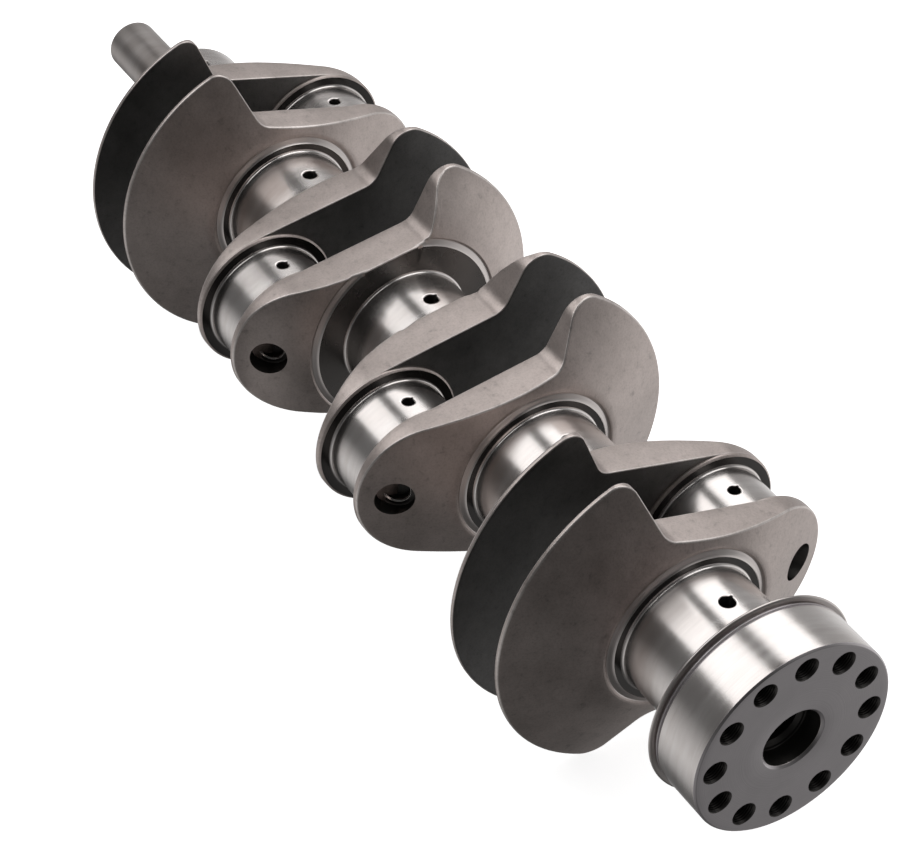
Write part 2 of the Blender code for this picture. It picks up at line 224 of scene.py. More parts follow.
def turned(profile, segments):
    """Points and faces of a profile of (x, r) turned about the X axis; r = 0 closes an end."""
    angles = around(segments)
    ring = np.stack([np.cos(angles), np.sin(angles)], 1)
    points, faces, starts = [], [], []
    for x, r in profile:
        starts.append(len(points))
        if r < TOUCHING:
            points.append((x, 0.0, 0.0))
        else:
            points.extend((x, r * c, r * s) for c, s in ring)
    for i in range(len(profile) - 1):
        first, second = profile[i][1] < TOUCHING, profile[i + 1][1] < TOUCHING
        if first and second:
            continue
        if first:
            faces.extend(fan(starts[i + 1], starts[i], segments, before=True))
        elif second:
            faces.extend(fan(starts[i], starts[i + 1], segments))
        else:
            faces.extend(ring_faces(starts[i], starts[i + 1], segments))
    return np.array(points), faces


def face_place(points, face):
    """Middle of a face of a turned shape, as (x, r)."""
    x = np.mean([points[i][0] for i in face])
    r = np.mean([math.hypot(points[i][1], points[i][2]) for i in face])
    return x, r


def cut(obj, cutters):
    """Applies exact Boolean differences, then drops the cutters."""
    for cutter in cutters:
        modifier = obj.modifiers.new("Cut", "BOOLEAN")
        modifier.operation = "DIFFERENCE"
        modifier.solver = "EXACT"
        modifier.object = cutter
    graph = bpy.context.evaluated_depsgraph_get()
    mesh = bpy.data.meshes.new_from_object(obj.evaluated_get(graph))
    obj.modifiers.clear()
    obj.data = mesh
    for cutter in cutters:
        bpy.data.objects.remove(cutter, do_unlink=True)
    shade(mesh)


def weld(obj):
    """Welds rows that meet and drops the faces that collapsed."""
    mesh = obj.data
    shape = bmesh.new()
    shape.from_mesh(mesh)
    bmesh.ops.remove_doubles(shape, verts=shape.verts, dist=0.01 * MM)
    bmesh.ops.dissolve_degenerate(shape, edges=shape.edges, dist=0.002 * MM)
    shape.to_mesh(mesh)
    shape.free()
    shade(mesh)


# Materials. Noise scales count features in a metre; bump distances are in metres.


def grey(level):
    return (level, level, level)


def node_material(name):
    material = bpy.data.materials.new(name)
    material.use_nodes = True
    tree = material.node_tree
    shader = tree.nodes["Principled BSDF"]
    coords = tree.nodes.new("ShaderNodeTexCoord")
    return material, tree, shader, coords


def steel_material(name):
    material, tree, shader, coords = node_material(name)
    shader.inputs["Metallic"].default_value = 1.0
    return material, tree, shader, coords


def glow(shader, strength):
    shader.inputs["Emission Color"].default_value = (1.0, 1.0, 1.0, 1.0)
    shader.inputs["Emission Strength"].default_value = strength


def noise(tree, coords, scale, stretch=(1.0, 1.0, 1.0), detail=3.0, roughness=0.55):
    mapping = tree.nodes.new("ShaderNodeMapping")
    mapping.inputs["Scale"].default_value = stretch
    tree.links.new(coords.outputs["Object"], mapping.inputs["Vector"])
    texture = tree.nodes.new("ShaderNodeTexNoise")
    texture.inputs["Scale"].default_value = scale
    texture.inputs["Detail"].default_value = detail
    texture.inputs["Roughness"].default_value = roughness
    tree.links.new(mapping.outputs["Vector"], texture.inputs["Vector"])
    return texture.outputs["Fac"]


def ramp(tree, value, stops):
    node = tree.nodes.new("ShaderNodeValToRGB")
    elements = node.color_ramp.elements
    while len(elements) < len(stops):
        elements.new(0.5)
    for element, (position, color) in zip(elements, stops):
        element.position = position
        element.color = (*color, 1.0)
    tree.links.new(value, node.inputs["Fac"])
    return node.outputs["Color"]


def spread(tree, value, low, high):
    """Widens the middle of a noise to run from low to high."""
    node = tree.nodes.new("ShaderNodeMapRange")
    node.inputs["From Min"].default_value = 0.3
    node.inputs["From Max"].default_value = 0.7
    node.inputs["To Min"].default_value = low
    node.inputs["To Max"].default_value = high
    tree.links.new(value, node.inputs["Value"])
    return node.outputs["Result"]


def mix(tree, kind, a, b, amount):
    node = tree.nodes.new("ShaderNodeMix")
    node.data_type = "RGBA"
    node.blend_type = kind
    node.inputs["Factor"].default_value = amount
    tree.links.new(a, node.inputs["A"])
    tree.links.new(b, node.inputs["B"])
    return node.outputs["Result"]


def add_bump(tree, shader, height, strength, distance, below=None):
    node = tree.nodes.new("ShaderNodeBump")
    node.inputs["Strength"].default_value = strength
    node.inputs["Distance"].default_value = distance
    tree.links.new(height, node.inputs["Height"])
    if below is not None:
        tree.links.new(below, node.inputs["Normal"])
    tree.links.new(node.outputs["Normal"], shader.inputs["Normal"])
    return node.outputs["Normal"]


def forged_material(name, dark, light):
    """Shot-peened forging: matte warm grey, finely pitted, mottled over the large faces."""
    material, tree, shader, coords = steel_material(name)
    cloud = noise(tree, coords, 46.0, detail=5.0, roughness=0.6)
    grain = noise(tree, coords, 1100.0, detail=4.0, roughness=0.7)
    scale = noise(tree, coords, 260.0, detail=4.0, roughness=0.65)
    base = ramp(tree, cloud, [(0.32, dark), (0.68, light)])
    speck = ramp(tree, grain, [(0.3, (0.80, 0.79, 0.78)), (0.55, grey(1.04))])
    blotch = ramp(tree, scale, [(0.24, grey(0.62)), (0.4, grey(0.97)), (0.7, grey(1.06))])
    color = mix(tree, "MULTIPLY", mix(tree, "MULTIPLY", base, speck, 0.7), blotch, 0.8)
    tree.links.new(color, shader.inputs["Base Color"])
    tree.links.new(spread(tree, cloud, 0.40, 0.47), shader.inputs["Roughness"])
    soft = add_bump(tree, shader, noise(tree, coords, 420.0, detail=2.0), 0.25, 0.00012)
    add_bump(tree, shader, grain, 0.35, 0.00006, soft)
    return material


def cut_finish(tree, shader, dark, color, cloud, lines, line_level, low, high):
    """Colour and roughness of a cut surface: cloudy patches crossed by fine tool lines."""
    base = ramp(tree, cloud, [(0.3, dark), (0.7, color)])
    fine = ramp(tree, lines, [(0.3, grey(line_level)), (0.7, grey(1.0))])
    tree.links.new(mix(tree, "MULTIPLY", base, fine, 1.0), shader.inputs["Base Color"])
    tree.links.new(spread(tree, cloud, low, high), shader.inputs["Roughness"])


def ground_material(name, color, low, high):
    """Ground steel: fine lines round the journal's own X axis."""
    material, tree, shader, coords = steel_material(name)
    shader.inputs["Anisotropic"].default_value = 0.4
    shader.inputs["Anisotropic Rotation"].default_value = 0.25
    tangent = tree.nodes.new("ShaderNodeTangent")
    tangent.direction_type = "RADIAL"
    tangent.axis = "X"
    tree.links.new(tangent.outputs["Tangent"], shader.inputs["Tangent"])
    lines = noise(tree, coords, 1.0, (5200.0, 26.0, 26.0), detail=2.0, roughness=0.7)
    broad = noise(tree, coords, 1.0, (150.0, 34.0, 34.0))
    dark = (0.84 * color[0], 0.82 * color[1], 0.81 * color[2])
    cut_finish(tree, shader, dark, color, broad, lines, 0.90, low, high)
    add_bump(tree, shader, lines, 0.10, 0.00003)
    return material


def faced_material(name, color, low, high, relief=0.16):
    """A faced surface: fine rings about the rotation axis."""
    material, tree, shader, coords = steel_material(name)
    split = tree.nodes.new("ShaderNodeSeparateXYZ")
    tree.links.new(coords.outputs["Object"], split.inputs["Vector"])
    flat = tree.nodes.new("ShaderNodeCombineXYZ")
    for axis in "YZ":
        tree.links.new(split.outputs[axis], flat.inputs[axis])
    radius = tree.nodes.new("ShaderNodeVectorMath")
    radius.operation = "LENGTH"
    tree.links.new(flat.outputs["Vector"], radius.inputs[0])
    rings = tree.nodes.new("ShaderNodeTexNoise")
    rings.noise_dimensions = "1D"
    rings.inputs["Scale"].default_value = 3200.0
    rings.inputs["Detail"].default_value = 3.0
    tree.links.new(radius.outputs["Value"], rings.inputs["W"])
    cloud = noise(tree, coords, 55.0)
    dark = tuple(0.84 * c for c in color)
    cut_finish(tree, shader, dark, color, cloud, rings.outputs["Fac"], 0.86, low, high)
    add_bump(tree, shader, rings.outputs["Fac"], relief, 0.00004)
    return material


def floor_material():
    """A plain pale floor, lifted a little so that it stays near white under the part."""
    material, _, shader, _ = node_material("pale_floor")
    shader.inputs["Base Color"].default_value = (0.9, 0.9, 0.9, 1.0)
    shader.inputs["Roughness"].default_value = 0.9
    shader.inputs["Specular IOR Level"].default_value = 0.0
    glow(shader, 0.85)
    return material


def backdrop_material():
    material, _, shader, _ = node_material("pale_backdrop")
    shader.inputs["Base Color"].default_value = (0.0, 0.0, 0.0, 1.0)
    glow(shader, 1.0)
    return material


FORGED = forged_material("forged_steel_peened", (0.50, 0.437, 0.41), (0.62, 0.545, 0.515))
# Flat faces of the webs towards the crankpins: a darker steel, painted shade for where they lie
# deep between the webs
SHADED = forged_material("forged_steel_painted_shade", (0.20, 0.195, 0.192), (0.27, 0.263, 0.258))
GROUND = ground_material("ground_journal_steel", (0.86, 0.82, 0.80), 0.20, 0.27)
NOSE_STEEL = ground_material("nose_steel", (0.56, 0.52, 0.50), 0.34, 0.42)
# Lighter steel on the rolled edges of the webs: worn edges, and partly a painted highlight for the
# thin bright lines along them
EDGE = forged_material("forged_steel_worn_edge_painted_highlight", (0.55, 0.50, 0.475), (0.86, 0.80, 0.77))
# The flat rings beside the journals and on the bosses: ground steel coloured very dark, painted
# shade for the dark web faces they reflect
POLISHED = faced_material("ground_ring_steel_painted_shade", (0.12, 0.114, 0.11), 0.14, 0.2, 0.06)
LAPPED = faced_material("thrust_ring_steel_painted_shade", (0.20, 0.188, 0.18), 0.22, 0.32, 0.08)
BEAD = faced_material("turned_steel", (0.74, 0.685, 0.66), 0.28, 0.36)
FACED = faced_material("faced_flange_steel", (0.62, 0.585, 0.595), 0.36, 0.44)
# Dark steel for the walls deep in holes and sockets: painted shade inside them
BORE = ground_material("drilled_steel_painted_shade", (0.12, 0.115, 0.11), 0.4, 0.5)
PLUG = ground_material("plug_steel_turned", (0.75, 0.72, 0.70), 0.22, 0.3)
KEY = ground_material("key_steel_satin", (0.50, 0.50, 0.50), 0.3, 0.4)


# Journals


# Walls of an oil hole below its lip: widening, share of the nick, and depth
HOLE_WALL = [(0.2, 1.0, 0.1), (0.0, 1.0, 0.42), (0.0, 0.5, 1.6), (0.0, 0.0, 3.0), (0.0, 0.0, 14.0)]
LIP = 0.45  # from the edge of an oil hole to the edge of its countersink
# Oil-hole walls deeper than this, in mm, take the dark bore steel: painted shade
HOLE_DARK_BELOW = 1.0


def hole_patch(points, faces, radius, hole_r, rows, starts, columns, segments):
    """Fills the opening left in a journal's grid with a countersunk round hole pointing up, and
    gives the materials of the new faces: ground steel at the lip, and dark steel deeper in as
    painted shade."""
    loop = [(rows[0], j) for j in range(columns[0], columns[1])]
    loop += [(i, columns[1]) for i in rows[:-1]]
    loop += [(rows[-1], j) for j in range(columns[1], columns[0], -1)]
    loop += [(i, columns[0]) for i in rows[:0:-1]]
    outer = [starts[i] + j % segments for i, j in loop]
    count = len(outer)
    flat = []
    for index in outer:
        x, y, z = points[index]
        flat.append((x, radius * math.atan2(y, z)))
    flat = np.array(flat)
    angles = np.arctan2(flat[:, 1], flat[:, 0])
    # A small nick in the far edge, left by the deburring tool
    nick_at = math.atan2(0.85, -0.52)
    off = (angles - nick_at + math.pi) % (2 * math.pi) - math.pi
    nick = 0.34 * hole_r * np.exp(-((off / 0.15) ** 2))
    direction = np.stack([np.cos(angles), np.sin(angles)], 1)
    lip = direction * (hole_r + LIP + nick)[:, None]
    levels = [(flat * (1 - share) + lip * share, 0.0) for share in (0.3, 0.6, 0.85, 1.0)]
    for widening, share, depth in HOLE_WALL:
        levels.append((direction * (hole_r + widening + share * nick)[:, None], depth))
    previous = outer
    finishes = []
    for plane, depth in levels:
        start = len(points)
        for x, s in plane:
            across = radius * math.sin(s / radius)
            points.append((x, across, radius * math.cos(s / radius) - depth))
        current = list(range(start, start + count))
        for j in range(count):
            k = (j + 1) % count
            faces.append((previous[j], previous[k], current[k], current[j]))
            # Deeper walls are dark steel: painted shade inside the hole
            finishes.append(BORE if depth > HOLE_DARK_BELOW else GROUND)
        previous = current
    faces.append(tuple(previous))
    return [*finishes, BORE]


PATCH_MARGIN = 1.9  # from an oil hole's edge to the edge of the patch round it, at least


def journal(node, centre, radius, hole_r, ends, segments=288):
    """A ground journal. ends gives the rest of the profile beyond the cylinder, front and rear."""
    spacing = 2 * math.pi * radius / segments
    cells = math.ceil((hole_r + PATCH_MARGIN) / spacing)
    hole_rows = [spacing * k for k in range(-cells, cells + 1)]
    front = [(-x, r) for x, r in rounded(ends[0])][::-1]
    rear = [(x, r) for x, r in rounded(ends[1])]
    body = [(x, radius) for x in hole_rows]
    profile = front + body + rear
    rows = list(range(len(front), len(front) + len(body)))
    angles = around(segments)
    points, starts, faces = [], [], []
    for x, r in profile:
        starts.append(len(points))
        points.extend((x, r * math.sin(a), r * math.cos(a)) for a in angles)
    columns = (-cells, cells)
    for i in range(len(profile) - 1):
        for j in range(segments):
            signed = j if j < segments / 2 else j - segments
            inside = rows[0] <= i < rows[-1] and columns[0] <= signed < columns[1]
            if not inside:
                k = (j + 1) % segments
                here, after = starts[i], starts[i + 1]
                faces.append((here + j, here + k, after + k, after + j))
    faces.append(tuple(starts[0] + j for j in reversed(range(segments))))
    faces.append(tuple(starts[-1] + j for j in range(segments)))
    finishes = [GROUND] * len(faces)
    finishes += hole_patch(points, faces, radius, hole_r, rows, starts, columns, segments)
    points = np.array(points) + np.array(centre)
    obj = make_object(f"{node}_ground", points, faces, [GROUND, BORE], finishes, centre)
    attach(obj, "root")
    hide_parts(node)


def fillet_end(radius, half, buried):
    """Profile from a journal's cylinder through its rolled fillet into the web beside it."""
    return [
        (half - FILLET - 1.5, radius, 0.0),
        (half + 0.02, radius, FILLET),
        (half + 0.02, radius + FILLET + 0.4, 0.0),
        (half + buried, radius + FILLET + 0.5, 0.0),
    ]


def build_journals():
    for k, x in enumerate(MAINS):
        rear = fillet_end(MAIN_R, MAIN_HALF, 4.0)
        front = rear
        if k == 0:  # its front face shows, round the nose
            front = [
                (MAIN_HALF - 8.0, MAIN_R, 0.0),
                (NOSE_FACE, MAIN_R, 0.9),
                (NOSE_FACE, 24.0, 0.3),
                (NOSE_FACE - 0.3, 23.6, 0.2),
                (NOSE_FACE - 0.3, 10.0, 0.0),
            ]
        if k == 4:  # an undercut lies before the flange
            rear = [
                (MAIN_HALF - 5.6, MAIN_R, 0.0),
                (MAIN_HALF - 3.4, MAIN_R, 0.3),
                (MAIN_HALF - 3.1, MAIN_R - 0.5, 0.4),
                (MAIN_HALF + 0.2, MAIN_R - 0.5, 1.6),
                (MAIN_HALF + 0.2, MAIN_R + 3.0, 0.0),
                (MAIN_HALF + 3.0, MAIN_R + 3.0, 0.0),
            ]
        journal(f"main_journal_{k + 1}", (x, 0.0, 0.0), MAIN_R, MAIN_HOLE_R, (front, rear))
    end = fillet_end(PIN_R, PIN_HALF, 0.6)
    for k, pin in enumerate(PINS):
        journal(f"crankpin_{k + 1}", tuple(pin), PIN_R, PIN_HOLE_R, (end, end))


# Webs


def arc(centre, radius, start, end, spacing=0.8):
    count = max(3, math.ceil(abs(end - start) * radius / spacing))
    a = np.linspace(start, end, count + 1)
    return np.stack([centre[0] + radius * np.cos(a), centre[1] + radius * np.sin(a)], 1)


def straight(start, end, spacing=0.8):
    count = max(2, math.ceil(np.linalg.norm(end - start) / spacing))
    return start + (end - start) * np.linspace(0.0, 1.0, count + 1)[1:-1, None]


def web_outline(shoulder_point, tip_r, rim_shift, rim_r):
    """The web seen along the shaft: u towards the crankpin, v up, going round from the lobe."""
    pin = np.array([THROW, 0.0])
    land_out = np.array([math.sin(LAND_ANGLE), math.cos(LAND_ANGLE)])
    land = np.array([-math.cos(LAND_ANGLE), math.sin(LAND_ANGLE)])
    shoulder = np.array([math.cos(SHOULDER_ANGLE), math.sin(SHOULDER_ANGLE)])
    inward = np.array([-shoulder[1], shoulder[0]])
    tangent = pin + LOBE_R * land_out
    a = tangent + WAIST_R * land_out
    b = np.array(shoulder_point) - WAIST_R * inward
    cross = land[0] * shoulder[1] - land[1] * shoulder[0]
    reach = ((b - a)[0] * shoulder[1] - (b - a)[1] * shoulder[0]) / cross
    waist_centre = a + reach * land
    start = math.atan2(-land_out[1], -land_out[0])
    end = math.atan2(inward[1], inward[0])
    waist = arc(waist_centre, WAIST_R, start, end - 2 * math.pi if end > start else end)
    rim_centre = np.array([rim_shift, 0.0])
    p = np.array(shoulder_point) + tip_r * inward - rim_centre
    half = np.dot(p, shoulder)
    along = -half + math.sqrt(half**2 - (np.dot(p, p) - (rim_r - tip_r) ** 2))
    out = p + along * shoulder
    tip_centre = rim_centre + out
    rim_start = math.atan2(out[1], out[0])
    tip = arc(tip_centre, tip_r, math.atan2(-inward[1], -inward[0]), rim_start, 0.5)
    lobe = arc(pin, LOBE_R, 0.0, math.pi / 2 - LAND_ANGLE)
    rim = arc(rim_centre, rim_r, rim_start, math.pi, 1.0)
    upper = [lobe, straight(lobe[-1], waist[0]), waist, straight(waist[-1], tip[0]), tip, rim[1:]]
    upper = np.concatenate(upper)
    lower = upper[1:-1][::-1] * np.array([1.0, -1.0])
    return np.concatenate([upper, lower])


# Radius and drop below the ring face: flat ring, its turned edge, the root, then the web's face
THRUST_DROPS = [
    (0.0, 0.0), (40.8, 0.0), (41.1, 0.3), (41.5, 0.65), (42.2, 1.0), (42.9, 1.35), (43.3, 1.55),
    (43.7, 1.3), (44.3, 1.02), (50.0, 3.2), (56.0, 6.3), (62.0, 10.3), (68.0, 14.4), (80.0, 19.35),
]
RING_DROPS = [
    (0.0, 0.0), (32.2, 0.0), (32.45, 0.3), (32.8, 0.6), (33.4, 0.9), (34.1, 1.2), (34.6, 1.45),
    (35.0, 1.2), (35.6, 0.88), (36.6, 0.9), (80.0, 19.345),
]


def ring_height(r, thrust):
    """Height of the main side of a web at this radius."""
    radii, drops = zip(*(THRUST_DROPS if thrust else RING_DROPS))
    return WEB_RING - np.interp(r, radii, drops)


def ring_rows(first, last):
    """Radii of the rows of vertices over a ring's edge and root."""
    return [29.0, 30.5, *np.arange(first, last, 0.15), last]


WEB_MATERIALS = [FORGED, SHADED, POLISHED, BEAD, BORE, EDGE, LAPPED]
PIN_EDGE = 0.45  # rounding of a web's edge on the crankpin's side
MAIN_EDGE = 0.6  # the same on the main journal's side
LOBE_EDGE = 0.25  # and beside the crankpin's boss
EDGE_BAND = 1.6  # from the outline to where the flat faces' own rows start


def web_plate(thrust, weight):
    """Points, faces and materials of one web, with every edge rolled over."""
    outline = web_outline(*weight)
    count = len(outline)
    ahead = np.roll(outline, -1, axis=0) - np.roll(outline, 1, axis=0)
    ahead /= np.linalg.norm(ahead, axis=1)[:, None]
    inward = np.stack([-ahead[:, 1], ahead[:, 0]], 1)

    def height(plane):
        return ring_height(np.linalg.norm(plane, axis=1), thrust)

    edge_height = height(outline)
    thickness = edge_height - WEB_FLAT
    on_lobe = np.linalg.norm(outline - np.array([THROW, 0.0]), axis=1) < LOBE_R + 0.4
    near = np.minimum(PIN_EDGE, 0.45 * thickness)
    near = np.where(on_lobe, LOBE_EDGE, near)
    blend = 4
    kernel = np.ones(2 * blend + 1) / (2 * blend + 1)
    near = np.convolve(np.concatenate([near[-blend:], near, near[:blend]]), kernel, "valid")
    far = np.minimum(MAIN_EDGE, 0.55 * thickness)
    rows = []

    def add_row(plane, x):
        rows.append(np.column_stack([np.broadcast_to(x, count), plane]))

    inner = outline + inward * EDGE_BAND
    for share in (0.25, 0.5, 0.75, 0.92, 1.0):
        add_row(inner * share, WEB_FLAT)
    near_rows = range(len(rows), len(rows) + 5)
    for a in np.radians([0, 18, 36, 54, 72, 90]):
        plane = outline + inward * (near * (1 - math.sin(a)))[:, None]
        add_row(plane, WEB_FLAT + near * (1 - math.cos(a)))
    for share in (0.33, 0.67):
        low, high = WEB_FLAT + near, edge_height - far
        add_row(outline, low + (high - low) * share)
    far_rows = range(len(rows), len(rows) + 6)
    for a in np.radians([0, 15, 30, 45, 60, 75, 90]):
        plane = outline + inward * (far * (1 - math.cos(a)))[:, None]
        add_row(plane, height(plane) - far * (1 - math.sin(a)))
    add_row(inner, height(inner))
    flat_to, bead_to, root_to = THRUST_RADII if thrust else RING_RADII
    circles = ring_rows(flat_to, root_to)
    reach = np.linalg.norm(inner, axis=1)
    unit = inner / reach[:, None]
    outer_circle = unit * np.minimum(circles[-1], reach)[:, None]
    for share in (0.85, 0.65, 0.45, 0.25, 0.1):
        plane = outer_circle + (inner - outer_circle) * share
        add_row(plane, height(plane))
    for radius in reversed(circles):
        plane = unit * np.minimum(radius, reach)[:, None]
        add_row(plane, height(plane))
    points = np.concatenate(rows)
    faces = []
    for i in range(len(rows) - 1):
        faces.extend(ring_faces(i * count, (i + 1) * count, count))
    first = len(points)
    points = np.concatenate([points, [[WEB_FLAT, 0.0, 0.0], [WEB_RING, 0.0, 0.0]]])
    faces.extend(fan(0, first, count, before=True))
    faces.extend(fan((len(rows) - 1) * count, first + 1, count))
    finishes = []
    for i, face in enumerate(faces):
        x, u, v = points[list(face)].mean(axis=0)
        radius = math.hypot(u, v)
        row = i // count
        # The flat faces towards the crankpin get the darker steel: painted shade
        if x < WEB_FLAT + TOUCHING:
            finishes.append(SHADED)
        # Rolled edges get the lighter steel: worn edges and a painted highlight
        elif row in near_rows or row in far_rows:
            finishes.append(EDGE)
        elif radius > bead_to or x < ring_height(radius, thrust) - 0.1:
            finishes.append(FORGED)
        elif radius > flat_to:
            finishes.append(BEAD)
        else:
            # The flat ring beside the journal takes the dark ring steel: painted shade
            finishes.append(LAPPED if thrust else POLISHED)
    return points, faces, finishes


def drilling_cutter(throw):
    """The stepped mouth of an oil drilling, as the rear web is cut by it."""
    profile = rounded(
        [
            (MOUTH + 20.0, 0.0, 0.0),
            (MOUTH + 20.0, 7.7, 0.0),
            (MOUTH - 5.6, 7.7, 0.5),
            (MOUTH - 6.0, 7.2, 0.2),
            (MOUTH - 6.0, 5.8, 0.2),
            (MOUTH - 14.0, 5.8, 0.0),
            (MOUTH - 14.0, 0.0, 0.0),
        ]
    )
    points, faces = turned(profile, 64)
    return drilled(f"drilling_{throw + 1}", points, faces, throw, [BORE])


def drilled(name, points, faces, throw, materials, finishes=None):
    """Places a shape that was turned about X on the oil drilling of one throw."""
    side = SIDES[throw]
    c, s = math.cos(DRILL_ANGLE), math.sin(DRILL_ANGLE) * side
    turn = np.array([[c, -s, 0.0], [s, c, 0.0], [0.0, 0.0, 1.0]])
    placed = np.asarray(points) @ turn.T + PINS[throw]
    return make_object(name, placed, faces, materials, finishes)


def build_webs():
    end_plate = web_plate(False, END_WEIGHT)
    middle_plate = web_plate(False, MIDDLE_WEIGHT)
    thrust_plate = web_plate(True, MIDDLE_WEIGHT)
    order = [end_plate, end_plate, middle_plate, thrust_plate]
    plates = order + order[::-1]
    boss_profile = rounded(
        [
            (WEB_FLAT + 0.25, 0.0, 0.0),
            (WEB_FLAT + 0.25, BOSS_R, 0.0),
            (PIN_HALF + 0.75, BOSS_R, 0.3),
            (PIN_HALF, BOSS_R - 0.75, 0.25),
            (PIN_HALF, 27.0, 0.0),
            (PIN_HALF, 0.0, 0.0),
        ]
    )
    boss_points, boss_faces = turned(boss_profile, 240)
    boss_finishes = []
    for face in boss_faces:
        flat = all(abs(boss_points[i][0] - PIN_HALF) < TOUCHING for i in face)
        # The boss's flat face takes the dark ring steel: painted shade
        boss_finishes.append(POLISHED if flat else FORGED)
    for number in range(1, 9):
        throw = (number - 1) // 2
        behind = number % 2 == 0
        facing = 1 if behind else -1
        scale = np.array([facing, SIDES[throw], 1.0])
        points, faces, finishes = plates[number - 1]
        shift = np.array([PINS[throw][0], 0.0, 0.0])
        obj = make_object(
            f"web_{number}_forged", points * scale + shift, faces, WEB_MATERIALS, finishes
        )
        weld(obj)
        if behind:
            cut(obj, [drilling_cutter(throw)])
        boss_shift = np.array([PINS[throw][0], PINS[throw][1], 0.0])
        boss = make_object(
            f"web_{number}_pin_boss", boss_points * scale + boss_shift, boss_faces,
            [FORGED, POLISHED], boss_finishes, origin=boss_shift,
        )
        for piece in (obj, boss):
            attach(piece, "root")
            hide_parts(f"web_{number}")


# Flange


# Tapped holes, mm
THREAD_PITCH = 1.0
THREAD_RELIEF = 0.28
THREAD_LENGTH = 9.0
THREAD_START = -0.6  # from the flange's face
TAP_R = 4.55
ROWS_IN_A_PITCH = 5
TAP_POINT = 8.0  # length of the drill point's cone


def threaded_cutter(name, x, y, z):
    """A tapped hole with a countersunk mouth, opening towards +X."""
    segments = 28
    rows = int(THREAD_LENGTH / THREAD_PITCH * ROWS_IN_A_PITCH)
    points = []
    mouth = [(1.0, 6.1), (0.0, 5.1), (-0.15, 4.95)]
    angles = around(segments)
    for offset, r in mouth:
        points.extend((offset, r * math.cos(a), r * math.sin(a)) for a in angles)
    for i in range(rows):
        offset = THREAD_START - i * THREAD_PITCH / ROWS_IN_A_PITCH
        for a in angles:
            phase = (offset / THREAD_PITCH + a / (2 * math.pi)) % 1.0
            r = TAP_R + THREAD_RELIEF * abs(2 * phase - 1)
            points.append((offset, r * math.cos(a), r * math.sin(a)))
    offset = THREAD_START - rows * THREAD_PITCH / ROWS_IN_A_PITCH
    points.extend((offset, TAP_R * math.cos(a), TAP_R * math.sin(a)) for a in angles)
    total = len(mouth) + rows + 1
    faces = []
    for i in range(total - 1):
        faces.extend(ring_faces(i * segments, (i + 1) * segments, segments))
    tip = len(points)
    points.append((offset - TAP_POINT, 0.0, 0.0))
    faces.extend(fan((total - 1) * segments, tip, segments))
    faces.append(tuple(reversed(range(segments))))
    points = np.array(points) + np.array([x, y, z])
    return make_object(name, points, faces, [BORE])


def build_flange():
    front = -(REAR_X - MAINS[4] - MAIN_HALF) + 0.3  # of the collar, from the flange's face
    profile = rounded(
        [
            (-22.0, 0.0, 0.0),
            (-20.0, 9.5, 0.3),
            (-10.6, 9.5, 0.3),
            (-9.2, 11.2, 0.2),
            (-9.2, 12.5, 0.5),
            (-0.9, 12.5, 0.25),
            (0.0, 13.5, 0.25),
            (0.0, 20.0, 0.0),
            (0.0, 38.6, 0.0),
            (0.0, 41.4, 0.2),
            (-0.7, 42.1, 0.2),
            (-2.4, 42.1, 0.0),
            (-21.9, 42.1, 0.25),
            (-22.3, 41.1, 0.15),
            (-22.8, 41.1, 0.15),
            (-23.1, 41.9, 0.15),
            (-23.6, 41.9, 0.15),
            (-23.8, 41.0, 0.15),
            (-24.3, 41.0, 0.15),
            (-24.5, 43.2, 0.2),
            (-24.9, 43.8, 0.35),
            (front + 0.6, 43.8, 0.4),
            (front, 43.1, 0.3),
            (front, 30.0, 0.0),
            (front, 0.0, 0.0),
        ]
    )
    points, faces = turned(profile, 288)
    finishes = []
    for face in faces:
        x, r = face_place(points, face)
        pilot_bore = r < 12.6
        collar = r > 41.6 and x < -24.4
        seal_land = r > 40.9 and -22.1 < x < -1.3
        # Deep in the pilot bore the wall is dark steel: painted shade
        if pilot_bore and x < -1.6:
            finishes.append(BORE)
        elif pilot_bore or collar:
            finishes.append(BEAD)
        else:
            finishes.append(GROUND if seal_land else FACED)
    origin = (REAR_X, 0.0, 0.0)
    points = points + np.array(origin)
    materials = [FACED, GROUND, BORE, BEAD]
    obj = make_object("flange_machined", points, faces, materials, finishes, origin)
    cutters = []
    for k, a in enumerate(around(BOLTS)):
        y, z = BOLT_CIRCLE_R * math.cos(a), BOLT_CIRCLE_R * math.sin(a)
        cutters.append(threaded_cutter(f"tap_{k + 1}", REAR_X, y, z))
    cut(obj, cutters)
    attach(obj, "root")
    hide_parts("flange")


# Nose, key and plugs


KEY_FLAT = -0.8  # the key's flat outer face, from the middle of its round edge


def across_shaft(points):
    """Turns a shape whose axis is X so that its axis is Y."""
    return points[:, [1, 0, 2]]


